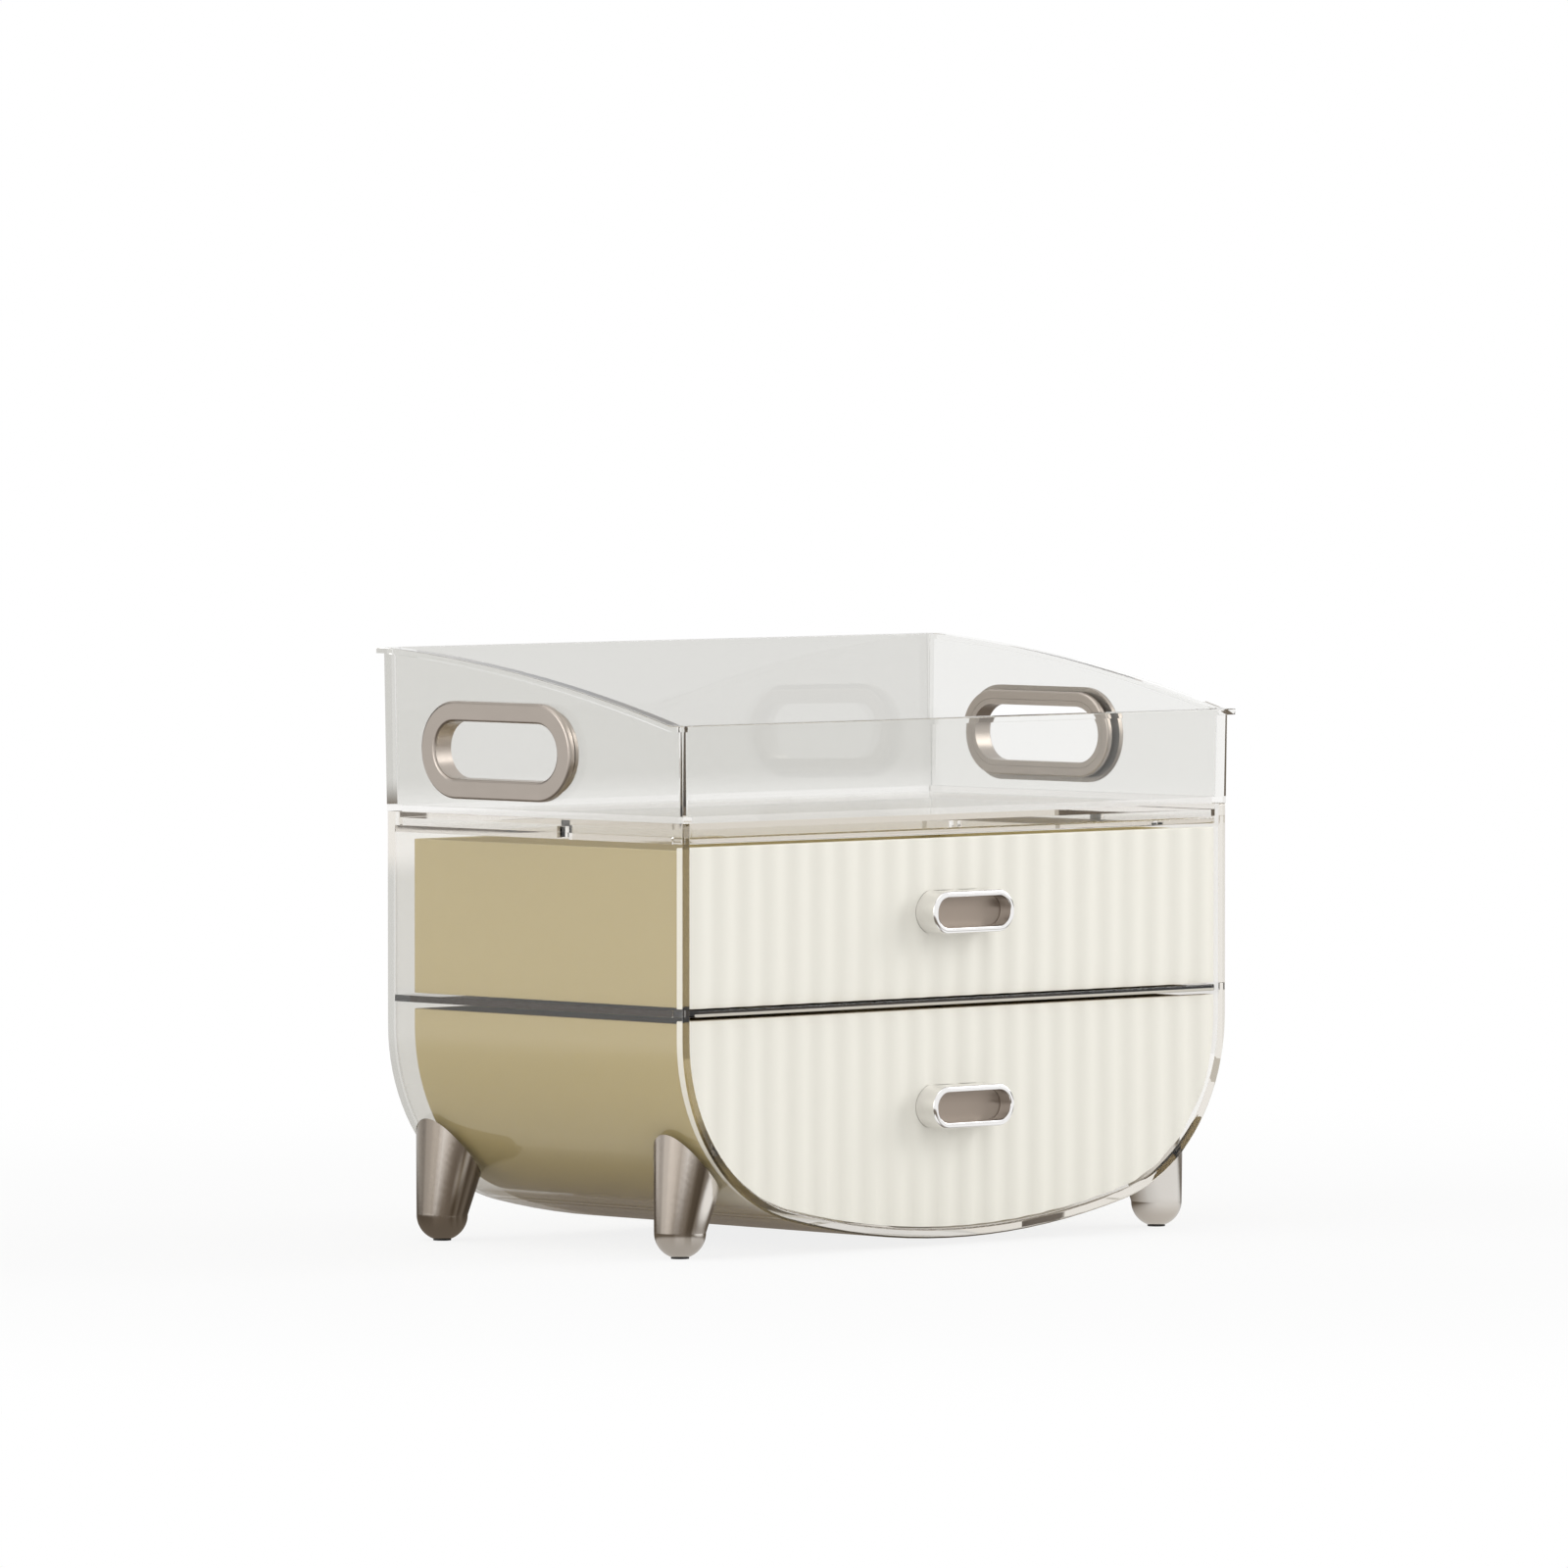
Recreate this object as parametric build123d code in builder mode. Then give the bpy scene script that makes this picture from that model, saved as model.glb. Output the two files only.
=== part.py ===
from build123d import *
import os
from math import atan2, cos, radians, sin, sqrt, tan

# Makeup organizer: a clear U-shaped shell on four slanted feet, two drawers with
# fluted fronts, and an open clear tray with a raised back clipped on top.
# Millimetres. X runs along the front, Y from front to back, Z up. The origin is on
# the table, under the middle of the whole organizer.

# Clear shell
shell_width = 302.0
shell_depth = 174.0
rim_height = 172.5  # top edge above the table
belly_height = 3.0  # lowest point above the table
corner_radius = 75.0
belly_radius = 400.0
shell_wall = 4.0
back_wall = 3.0
shell_edge_round = 0.9  # round the front, and round the back's sides and belly

# Shelves, slid into grooves of the shell
shelf_thickness = 2.6
shelf_groove = 1.2
shelf_ear_start = 8.0  # the grooves start this far behind the front
shelf_corner = 4.0
shelf_edge_round = 0.6
deck_drop = 5.5  # from the shell's rim down to the deck
upper_bay_height = 65.4  # between the deck and the divider

# Running and fitting clearances
run_gap = 0.3
fit_gap = 0.1
through = 1.0  # how far a cut runs past the face it opens

# Drawer fronts
front_recess = 1.6  # behind the shell's front edge
front_gap = 0.6  # beside and under each front
front_top_gap = 1.5
front_thickness = 4.0  # behind the reeds
reed_depth = 0.9
reed_count = 22
front_edge_round = 0.4
peg_radius = 2.0
peg_length = 1.6
peg_inset = 51.0  # from the shell's walls
upper_peg_rise = 12.0  # low row of the upper front, above its lower edge
upper_peg_drop = 7.3  # high row of the upper front, below its upper edge
lower_peg_rise = 26.3  # the same for the lower front
lower_peg_drop = 17.0

# Drawer boxes
box_gap = 1.1  # between a box and the walls round it
box_drop = 1.1  # how far a box is lower than its front
box_wall = 2.0
box_back_space = 12.0  # from a box's back to the shell's back face
box_edge_round = 1.8
box_rim_round = 0.5
runner_width = 4.0
upper_runner_inset = 47.0  # from the shell's walls
lower_runner_inset = 87.0
drawer_travel = 120.0
stop_width = 40.0
stop_thickness = 2.0
stop_rib_gap = 0.5  # between a stop rib and the box's top edge
stop_tab_gap = 0.4  # between a stop tab and the shelf above

# Pulls
pull_width = 45.0
pull_height = 17.0
pull_reach = 10.5  # in front of the reeds
pull_rim = 2.4
pull_recess = 6.5
pull_outer_round = 1.2
pull_inner_round = 0.5
upper_pull_rise = 34.6  # above the divider
lower_pull_drop = 43.1  # below the divider's top
boss_radius = 3.5
pull_screw_spacing = 26.0
pull_screw_radius = 1.5
pull_screw_bite = 3.0  # how deep the screw goes past the boss into the cup
pull_screw_head_radius = 3.0
pull_screw_head_height = 2.0
driver_width = 3.6
driver_slot = 0.8
driver_depth = 0.9

# Tray
tray_front_height = 38.5  # above the shell's rim
tray_back_height = 65.8
tray_rim_crown = 4.0  # bulge of the side walls' curved top edge
tray_wall = 4.0
tray_floor = 2.6
tray_corner = 0.2
tray_inner_corner = 0.5
tray_draft = 1.0
lip_reach = 2.5
lip_height = 2.4
lip_corner = 1.2
rim_bend = 12.0  # where the rim's curve runs into its level ends
rim_round = 0.4
rim_steepness = 20.0  # more than the rim's steepest slope, in degrees
skirt_wall = 2.0
skirt_front_recess = 1.0

# Clips that hold the tray: a hook in a window of each side wall, a nib of the deck in front
clip_size = 4.7
clip_y = -16.4  # from the middle of the shell's depth
clip_window_drop = 7.5  # from the shell's rim to a window's lower edge
clip_hook_reach = 3.0
clip_notch_play = 1.0
nib_height = 2.4
nib_reach = 1.2
nib_post = 2.0

# Carrying rings in the tray's side walls
ring_width = 88.0
ring_height = 39.0
ring_y = 19.0  # from the middle of the shell's depth
ring_rise = 25.8  # from the shell's rim to a ring's middle
hand_hole_width = 72.0
hand_hole_height = 23.0
ring_thickness = 2.8
ring_round = 1.1
sleeve_wall = 2.2
bezel_margin = 2.0  # how much smaller the inner half is all round
bezel_thickness = 2.2
bezel_round = 0.8

# Feet
foot_inset_x = 18.4  # from the shell's side to the middle of the tip
foot_front_inset = 21.5
foot_back_inset = 12.5
foot_top_radius = 18.6
foot_tip_radius = 10.3
foot_height = 60.0
foot_lean = 10.8  # from the middle of the tip inwards to the middle of the uncut top
foot_seat_gap = 0.1
pad_radius = 3.6
pad_proud = 0.8
pad_seat = 1.0
foot_screw_angle = 43.0  # below horizontal, along the shell's corner
foot_screw_radius = 2.0
foot_screw_head_radius = 3.8
foot_screw_bite = 11.0  # in the foot
countersink_angle = 90.0

# Places worked out from the sizes above
half_width = shell_width / 2
corner_x = half_width - corner_radius
belly_z = belly_height + belly_radius
corner_z = belly_z - sqrt((belly_radius - corner_radius) ** 2 - corner_x**2)
flare = tan(radians(tray_draft))
pull_stand = pull_reach - front_recess  # in front of the shell
lip_stand = tray_back_height * flare + lip_reach  # behind the shell
shell_y = (pull_stand - lip_stand) / 2
shell_front = shell_y - shell_depth / 2
shell_back = shell_y + shell_depth / 2
inner_half = half_width - shell_wall
inner_back = shell_back - back_wall
shelf_back = inner_back - fit_gap
deck_top = rim_height - deck_drop
deck_bottom = deck_top - shelf_thickness
divider_top = deck_bottom - upper_bay_height
divider_bottom = divider_top - shelf_thickness
crest_y = shell_front + front_recess
valley_y = crest_y + reed_depth
front_back_y = valley_y + front_thickness
box_back_y = shell_back - box_back_space
pull_front_y = crest_y - pull_reach
upper_pull_z = divider_top + upper_pull_rise
lower_pull_z = divider_top - lower_pull_drop
peg_spread = inner_half - peg_inset
upper_runner_x = inner_half - upper_runner_inset
lower_runner_x = inner_half - lower_runner_inset
skirt_front = shell_front + skirt_front_recess
skirt_back = inner_back - run_gap
skirt_half = inner_half - run_gap
clip_window_bottom = rim_height - clip_window_drop
nib_bottom = deck_top + run_gap
tray_seat = rim_height + fit_gap
ring_z = rim_height + ring_rise
foot_x = half_width - foot_inset_x
foot_y = {-1: shell_front + foot_front_inset, 1: shell_back - foot_back_inset}
rib_back_y = box_back_y - box_wall - drawer_travel - run_gap
upper_front_bottom = divider_top + front_gap
upper_front_top = deck_bottom - front_top_gap
upper_box_bottom = divider_top + box_gap
lower_front_bottom = belly_height + shell_wall + front_gap
lower_front_top = divider_bottom - front_top_gap
upper_peg_rows = (upper_front_bottom + upper_peg_rise, upper_front_top - upper_peg_drop)
lower_peg_rows = (lower_front_bottom + lower_peg_rise, lower_front_top - lower_peg_drop)
foot_places = [(side, end) for end in (-1, 1) for side in (-1, 1)]
side_words = {-1: "left", 1: "right"}
end_words = {-1: "front", 1: "back"}


def upright(y):
    """Plane facing the front at a depth; its X and Y are the object's X and Z."""
    return Plane.XZ.offset(-y)


def bay_outline(inset, bottom, top):
    """Outline of the shell between two heights, a distance inside its outer face."""
    half = half_width - inset
    belly = belly_radius - inset
    lean = atan2(corner_x, belly_z - corner_z)
    joint = (belly * sin(lean), belly_z - belly * cos(lean))
    crest = rim_height + 2 * through
    with BuildSketch() as outline:
        with BuildLine():
            wall = Line((half, crest), (half, corner_z))
            TangentArc(wall @ 1, joint, tangent=wall % 1)
            mirror(about=Plane.YZ)
            ThreePointArc(joint, (0, belly_z - belly), (-joint[0], joint[1]))
            Line((half, crest), (-half, crest))
        make_face()
        with Locations((0, bottom)):
            Rectangle(shell_width, top - bottom, align=(Align.CENTER, Align.MIN), mode=Mode.INTERSECT)
    return outline.sketch


def plan(half_x, front_y, back_y, radius):
    """Rounded rectangle seen from above, from a front line to a back line."""
    with BuildSketch() as face:
        with Locations((0, (front_y + back_y) / 2)):
            RectangleRounded(2 * half_x, back_y - front_y, radius)
    return face.sketch


def foot_screw_plane(side, end):
    """Plane on the shell's inner face at a foot screw, facing into the shell."""
    turn = radians(foot_screw_angle)
    reach = corner_radius - shell_wall
    x = side * (corner_x + reach * cos(turn))
    origin = (x, foot_y[end], corner_z - reach * sin(turn))
    return Plane(origin=origin, x_dir=(0, 1, 0), z_dir=(-side * cos(turn), 0, sin(turn)))


# Shell: side walls, belly and back wall, with grooves, clip windows and screw holes
with BuildPart() as outer_shell:
    with BuildSketch(upright(shell_back)):
        add(bay_outline(0, 0, rim_height))
    extrude(amount=shell_depth)
    with BuildSketch(upright(inner_back)):
        add(bay_outline(shell_wall, 0, rim_height + through))
    extrude(amount=shell_depth, mode=Mode.SUBTRACT)
    fillet(outer_shell.faces().sort_by(Axis.Y)[0].edges(), shell_edge_round)
    back_edges = outer_shell.faces().sort_by(Axis.Y)[-1].edges().sort_by(Axis.Z)[:-1]
    fillet(back_edges, shell_edge_round)
    with BuildSketch(upright(inner_back)):
        with Locations((0, deck_bottom - fit_gap), (0, divider_bottom - fit_gap)):
            groove_width = 2 * (inner_half + shelf_groove)
            Rectangle(groove_width, shelf_thickness + 2 * fit_gap, align=(Align.CENTER, Align.MIN))
    extrude(amount=inner_back - shell_front - shelf_ear_start + fit_gap, mode=Mode.SUBTRACT)
    with BuildSketch(Plane.YZ):
        with Locations((shell_y + clip_y, clip_window_bottom)):
            Rectangle(clip_size, clip_size, align=(Align.CENTER, Align.MIN))
    extrude(amount=shell_width, both=True, mode=Mode.SUBTRACT)
    for side, end in foot_places:
        with Locations(foot_screw_plane(side, end)):
            CounterSinkHole(
                foot_screw_radius + fit_gap,
                foot_screw_head_radius + fit_gap,
                shell_wall + through,
                counter_sink_angle=countersink_angle,
            )
outer_shell.part.label = "outer_shell"


def shelf(bottom):
    """Plate with ears in the shell's grooves and, underneath, the rib that stops a drawer."""
    with BuildPart() as plate:
        with BuildSketch(Plane.XY.offset(bottom)):
            add(plan(inner_half - run_gap, shell_front, shelf_back, shelf_corner))
        extrude(amount=shelf_thickness)
        with BuildSketch(upright(inner_back)):
            add(bay_outline(shell_wall + run_gap, bottom, bottom + shelf_thickness))
        extrude(amount=inner_back - shell_front, mode=Mode.INTERSECT)
        front_face = plate.faces().sort_by(Axis.Y)[0]
        fillet(front_face.edges().filter_by(Axis.X), shelf_edge_round)
        with BuildSketch(Plane.XY.offset(bottom)):
            with Locations((0, shelf_back)):
                Rectangle(
                    2 * (inner_half + shelf_groove - fit_gap),
                    shelf_back - shell_front - shelf_ear_start,
                    align=(Align.CENTER, Align.MAX),
                )
        extrude(amount=shelf_thickness)
        with BuildSketch(Plane.XY.offset(bottom)):
            with Locations((0, rib_back_y)):
                Rectangle(stop_width, stop_thickness, align=(Align.CENTER, Align.MAX))
        extrude(amount=stop_rib_gap - box_drop - front_top_gap)
    return plate.part


# Deck over the upper drawer, with notches for the tray's hooks and a nib for its front
with BuildPart() as top_deck:
    add(shelf(deck_bottom))
    with BuildSketch(Plane.XY.offset(deck_bottom)):
        notch_depth = half_width - skirt_half + skirt_wall + fit_gap
        with Locations(*[(side * half_width, shell_y + clip_y) for side in (-1, 1)]):
            Rectangle(2 * notch_depth, clip_size + clip_notch_play)
    extrude(amount=shelf_thickness, mode=Mode.SUBTRACT)
    with BuildSketch(Plane.XY.offset(deck_top)):
        with Locations((0, skirt_front + skirt_wall + fit_gap)):
            Rectangle(clip_size - run_gap, nib_post, align=(Align.CENTER, Align.MIN))
    extrude(amount=nib_bottom + nib_height - fit_gap - deck_top)
    with BuildSketch(Plane.XY.offset(nib_bottom + fit_gap)):
        with Locations((0, skirt_front + skirt_wall + fit_gap)):
            Rectangle(clip_size - run_gap, nib_reach, align=(Align.CENTER, Align.MAX))
    extrude(amount=nib_height - 2 * fit_gap)
top_deck.part.label = "top_deck"

# Divider between the drawers
with BuildPart() as divider_shelf:
    add(shelf(divider_bottom))
divider_shelf.part.label = "divider_shelf"


def below_rim(drop):
    """Side view of all that lies a distance below the tray's curved top edge."""
    level = tray_wall + tray_inner_corner
    front = (shell_front + level, rim_height + tray_front_height - drop)
    back = (shell_back - level, rim_height + tray_back_height - drop)
    reach = level + lip_stand + through
    with BuildSketch() as view:
        with BuildLine():
            SagittaArc(front, back, tray_rim_crown)
            far_back = back[0] + reach
            far_front = front[0] - reach
            Polyline(back, (far_back, back[1]), (far_back, 0), (far_front, 0), (far_front, front[1]), front)
        make_face()
        bends = view.vertices().filter_by_position(Axis.X, front[0] - through, back[0] + through)
        fillet(bends, rim_bend)
    return view.sketch


def border(faces):
    """Edges that only one of these faces has."""
    edges = [edge for face in faces for edge in face.edges()]
    return [edge for edge in edges if sum(edge.is_same(other) for other in edges) == 1]


def wall_plane(side, depth):
    """Plane in a tray side wall at the middle of its carrying ring, facing outwards, a depth inside."""
    turn = radians(tray_draft)
    x = half_width + (ring_z - rim_height) * flare - depth * cos(turn)
    origin = (side * x, shell_y + ring_y, ring_z + depth * sin(turn))
    return Plane(origin=origin, x_dir=(0, 1, 0), z_dir=(side * cos(turn), 0, -sin(turn)))


# Band that stands out round the tray's top edge
with BuildPart() as tray_lip:
    with BuildSketch(Plane.XY.offset(tray_seat)):
        lip_half = half_width + lip_reach
        add(plan(lip_half, shell_front - lip_reach, shell_back + lip_reach, lip_corner))
    extrude(amount=tray_back_height + through, taper=-tray_draft)
    with BuildSketch(Plane.YZ):
        add(below_rim(0))
        add(below_rim(lip_height), mode=Mode.SUBTRACT)
    extrude(amount=shell_width, both=True, mode=Mode.INTERSECT)

# Tray: drafted walls on the shell's rim, a floor level with it and a skirt inside the shell
with BuildPart() as top_tray:
    with BuildSketch(Plane.XY.offset(tray_seat)):
        add(plan(half_width, shell_front, shell_back, tray_corner))
    extrude(amount=tray_back_height + through, taper=-tray_draft)
    with BuildSketch(Plane.YZ):
        add(below_rim(0))
    extrude(amount=shell_width, both=True, mode=Mode.INTERSECT)
    add(tray_lip.part)
    with BuildSketch(Plane.XY.offset(deck_top + fit_gap)):
        add(plan(skirt_half, skirt_front, skirt_back, skirt_wall))
    extrude(amount=tray_seat - deck_top - fit_gap)
    well_half = skirt_half - skirt_wall
    well = plan(well_half, skirt_front + skirt_wall, skirt_back - skirt_wall, tray_inner_corner)
    with BuildSketch(Plane.XY.offset(deck_top)):
        add(well)
    extrude(amount=tray_seat - tray_floor - deck_top, mode=Mode.SUBTRACT)
    with BuildSketch(Plane.XY.offset(tray_seat)):
        add(well)
    extrude(amount=tray_floor, mode=Mode.SUBTRACT)
    spread = tray_floor * flare - tray_wall
    with BuildSketch(Plane.XY.offset(tray_seat + tray_floor)):
        add(plan(half_width + spread, shell_front - spread, shell_back + spread, tray_inner_corner))
    extrude(amount=tray_back_height, taper=-tray_draft, mode=Mode.SUBTRACT)
    high = rim_height + tray_front_height - lip_height
    flat_enough = cos(radians(rim_steepness))
    high_faces = top_tray.faces().filter_by_position(Axis.Z, high, rim_height + tray_back_height)
    rim_faces = [face for face in high_faces if face.normal_at(face.center()).Z > flat_enough]
    fillet(border(rim_faces), rim_round)
    for side in (-1, 1):
        with BuildSketch(wall_plane(side, 0)):
            SlotOverall(
                hand_hole_width + 2 * (sleeve_wall + fit_gap),
                hand_hole_height + 2 * (sleeve_wall + fit_gap),
            )
        extrude(amount=tray_wall + through, both=True, mode=Mode.SUBTRACT)
    with BuildSketch(Plane.XY.offset(clip_window_bottom + run_gap)):
        with Locations((0, shell_y + clip_y)):
            Rectangle(2 * skirt_half, clip_size - run_gap)
            Rectangle(2 * well_half, clip_size, mode=Mode.SUBTRACT)
    extrude(amount=deck_top - clip_window_bottom)
    with BuildSketch(Plane.XY.offset(clip_window_bottom + run_gap)):
        with Locations((0, shell_y + clip_y)):
            Rectangle(2 * (skirt_half + clip_hook_reach), clip_size - run_gap)
            Rectangle(2 * skirt_half, clip_size, mode=Mode.SUBTRACT)
    extrude(amount=clip_size - 2 * run_gap)
    with BuildSketch(upright(skirt_front)):
        with Locations((0, nib_bottom)):
            Rectangle(clip_size, nib_height, align=(Align.CENTER, Align.MIN))
    extrude(amount=-skirt_wall, mode=Mode.SUBTRACT)
top_tray.part.label = "top_tray"


def handle_ring(side):
    """Outer half of a carrying ring, with the sleeve that lines the hole."""
    seat = wall_plane(side, -fit_gap)
    sleeve_length = tray_wall + bezel_thickness + 2 * fit_gap
    with BuildPart() as ring:
        with BuildSketch(seat):
            SlotOverall(ring_width, ring_height)
        extrude(amount=ring_thickness)
        with BuildSketch(seat):
            SlotOverall(hand_hole_width + 2 * sleeve_wall, hand_hole_height + 2 * sleeve_wall)
        extrude(amount=-sleeve_length)
        with BuildSketch(seat.offset(ring_thickness)):
            SlotOverall(hand_hole_width, hand_hole_height)
        extrude(amount=-(ring_thickness + sleeve_length), mode=Mode.SUBTRACT)
        outer_face = ring.faces().sort_by(Axis(seat.origin, seat.z_dir))[-1]
        fillet(outer_face.edges(), ring_round)
    ring.part.label = f"handle_ring_{side_words[side]}"
    return ring.part


def handle_bezel(side):
    """Inner half of a carrying ring, pushed over the end of the sleeve."""
    seat = wall_plane(side, tray_wall + fit_gap)
    with BuildPart() as bezel:
        with BuildSketch(seat):
            SlotOverall(ring_width - 2 * bezel_margin, ring_height - 2 * bezel_margin)
        extrude(amount=-bezel_thickness)
        inner_face = bezel.faces().sort_by(Axis(seat.origin, seat.z_dir))[0]
        fillet(inner_face.edges(), bezel_round)
        with BuildSketch(seat):
            SlotOverall(
                hand_hole_width + 2 * (sleeve_wall + fit_gap),
                hand_hole_height + 2 * (sleeve_wall + fit_gap),
            )
        extrude(amount=-bezel_thickness, mode=Mode.SUBTRACT)
    bezel.part.label = f"handle_bezel_{side_words[side]}"
    return bezel.part


def foot(side, end):
    """Foot that widens upwards and inwards, cut on top to the shell's corner."""
    tip = (foot_x, foot_y[end])
    with BuildPart() as leg:
        with BuildSketch(Plane.XY.offset(foot_tip_radius)):
            with Locations(tip):
                Circle(foot_tip_radius)
        with BuildSketch(Plane.XY.offset(foot_height)):
            with Locations((foot_x - foot_lean, foot_y[end])):
                Circle(foot_top_radius)
        loft()
        with Locations((*tip, foot_tip_radius)):
            Sphere(foot_tip_radius)
        split(bisect_by=Plane.XY.offset(pad_proud), keep=Keep.TOP)
        with BuildSketch(upright(foot_y[end] + foot_top_radius + through)):
            add(bay_outline(-foot_seat_gap, 0, rim_height))
        extrude(amount=2 * (foot_top_radius + through), mode=Mode.SUBTRACT)
        with BuildSketch(Plane.XY.offset(pad_proud)):
            with Locations(tip):
                Circle(pad_radius + fit_gap)
        extrude(amount=pad_seat, mode=Mode.SUBTRACT)
        with Locations(foot_screw_plane(1, end)):
            Hole(foot_screw_radius + fit_gap, shell_wall + foot_screw_bite + fit_gap)
        if side < 0:
            mirror(about=Plane.YZ, mode=Mode.REPLACE)
    leg.part.label = f"foot_{end_words[end]}_{side_words[side]}"
    return leg.part


# Pads in the tips of the feet
with BuildPart() as foot_pads:
    with BuildSketch():
        with Locations(*[(side * foot_x, foot_y[end]) for side, end in foot_places]):
            Circle(pad_radius)
    extrude(amount=pad_proud + pad_seat)
foot_pads.part.label = "foot_pads"

# Countersunk screws from inside the shell into the feet
with BuildPart() as foot_screws:
    for side, end in foot_places:
        seat = foot_screw_plane(side, end)
        with BuildSketch(seat):
            Circle(foot_screw_head_radius)
        head_depth = foot_screw_head_radius - foot_screw_radius
        extrude(amount=-head_depth, taper=countersink_angle / 2)
        with BuildSketch(seat):
            Circle(foot_screw_radius)
        extrude(amount=-(shell_wall + foot_screw_bite))
        with BuildSketch(seat):
            Rectangle(driver_width, driver_slot)
            Rectangle(driver_slot, driver_width)
        extrude(amount=-driver_depth, mode=Mode.SUBTRACT)
foot_screws.part.label = "foot_screws"


def screw_places(pull_z):
    """Middles of a pull's two screws, seen from the front."""
    return [(side * pull_screw_spacing / 2, pull_z) for side in (-1, 1)]


def peg_places(rows):
    """Middles of a front's four pegs, seen from the front."""
    return [(side * peg_spread, row) for side in (-1, 1) for row in rows]


def drawer_box(name, floor, bottom, top, pull_z, peg_rows, runner_x):
    """Open box of a drawer that runs on two ribs above a floor."""
    with BuildPart() as box:
        with BuildSketch(upright(box_back_y)):
            add(bay_outline(shell_wall + box_gap, bottom, top))
        extrude(amount=box_back_y - front_back_y)
        fillet(box.faces().sort_by(Axis.Y)[-1].edges().sort_by(Axis.Z)[:-1], box_edge_round)
        with BuildSketch(upright(box_back_y - box_edge_round)):
            with Locations((-runner_x, 0), (runner_x, 0)):
                Rectangle(runner_width, top, align=(Align.CENTER, Align.MIN))
            add(bay_outline(shell_wall + run_gap, floor, top), mode=Mode.INTERSECT)
        extrude(amount=box_back_y - box_edge_round - front_back_y)
        with BuildSketch(upright(box_back_y - box_wall)):
            add(bay_outline(shell_wall + box_gap + box_wall, bottom + box_wall, top + through))
        extrude(amount=box_back_y - front_back_y - 2 * box_wall, mode=Mode.SUBTRACT)
        fillet(box.faces().sort_by(Axis.Z)[-1].edges().sort_by(Axis.Y)[1:], box_rim_round)
        with BuildSketch(Plane.XY.offset(top)):
            with Locations((0, box_back_y)):
                Rectangle(stop_width, box_wall, align=(Align.CENTER, Align.MAX))
        extrude(amount=box_drop + front_top_gap - stop_tab_gap)
        with BuildSketch(upright(front_back_y)):
            with Locations(*screw_places(pull_z)):
                Circle(pull_screw_radius + fit_gap)
            with Locations(*peg_places(peg_rows)):
                Circle(peg_radius + fit_gap)
        extrude(amount=-box_wall, mode=Mode.SUBTRACT)
    box.part.label = name
    return box.part


def drawer_front(name, bottom, top, pull_z, peg_rows):
    """Fluted front of a drawer, with a flat seat and two holes for its pull."""
    front_half = inner_half - front_gap
    pitch = 2 * front_half / reed_count
    middle_y = (crest_y + valley_y) / 2
    with BuildPart() as front:
        with BuildSketch():
            with BuildLine():
                for step in range(2 * reed_count + 1):
                    x = step * pitch / 2 - front_half
                    bulge_y = crest_y if step % 2 else valley_y
                    ThreePointArc((x - pitch / 4, middle_y), (x, bulge_y), (x + pitch / 4, middle_y))
                edge_x = front_half + pitch / 4
                Polyline(
                    (edge_x, middle_y),
                    (edge_x, front_back_y),
                    (-edge_x, front_back_y),
                    (-edge_x, middle_y),
                )
            make_face()
        extrude(amount=top)
        with BuildSketch(upright(front_back_y)):
            add(bay_outline(shell_wall + front_gap, bottom, top))
        extrude(amount=front_back_y - shell_front, mode=Mode.INTERSECT)
        fillet(front.faces().sort_by(Axis.Z)[-1].edges().sort_by(Axis.Y)[:-1], front_edge_round)
        with BuildSketch(upright(valley_y)):
            with Locations((0, pull_z)):
                SlotOverall(pull_width + 2 * fit_gap, pull_height + 2 * fit_gap)
        extrude(amount=reed_depth + through, mode=Mode.SUBTRACT)
        with BuildSketch(upright(valley_y)):
            with Locations(*screw_places(pull_z)):
                Circle(boss_radius + fit_gap)
        extrude(amount=-front_thickness, mode=Mode.SUBTRACT)
        with BuildSketch(upright(front_back_y)):
            with Locations(*peg_places(peg_rows)):
                Circle(peg_radius)
        extrude(amount=-peg_length)
    front.part.label = name
    return front.part


def drawer_pull(name, pull_z):
    """Pill-shaped cup with two bosses that go through the front."""
    with BuildPart() as cup:
        with BuildSketch(upright(valley_y)):
            with Locations((0, pull_z)):
                SlotOverall(pull_width, pull_height)
        extrude(amount=valley_y - pull_front_y)
        fillet(cup.faces().sort_by(Axis.Y)[0].edges(), pull_outer_round)
        with BuildSketch(upright(pull_front_y)):
            with Locations((0, pull_z)):
                SlotOverall(pull_width - 2 * pull_rim, pull_height - 2 * pull_rim)
        extrude(amount=-pull_recess, mode=Mode.SUBTRACT)
        rim_face = cup.faces().sort_by(Axis.Y)[0]
        fillet(rim_face.inner_wires()[0].edges(), pull_inner_round)
        with BuildSketch(upright(front_back_y)):
            with Locations(*screw_places(pull_z)):
                Circle(boss_radius)
        extrude(amount=front_thickness)
        with BuildSketch(upright(front_back_y)):
            with Locations(*screw_places(pull_z)):
                Circle(pull_screw_radius + fit_gap)
        extrude(amount=front_thickness + pull_screw_bite + fit_gap, mode=Mode.SUBTRACT)
    cup.part.label = name
    return cup.part


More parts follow.
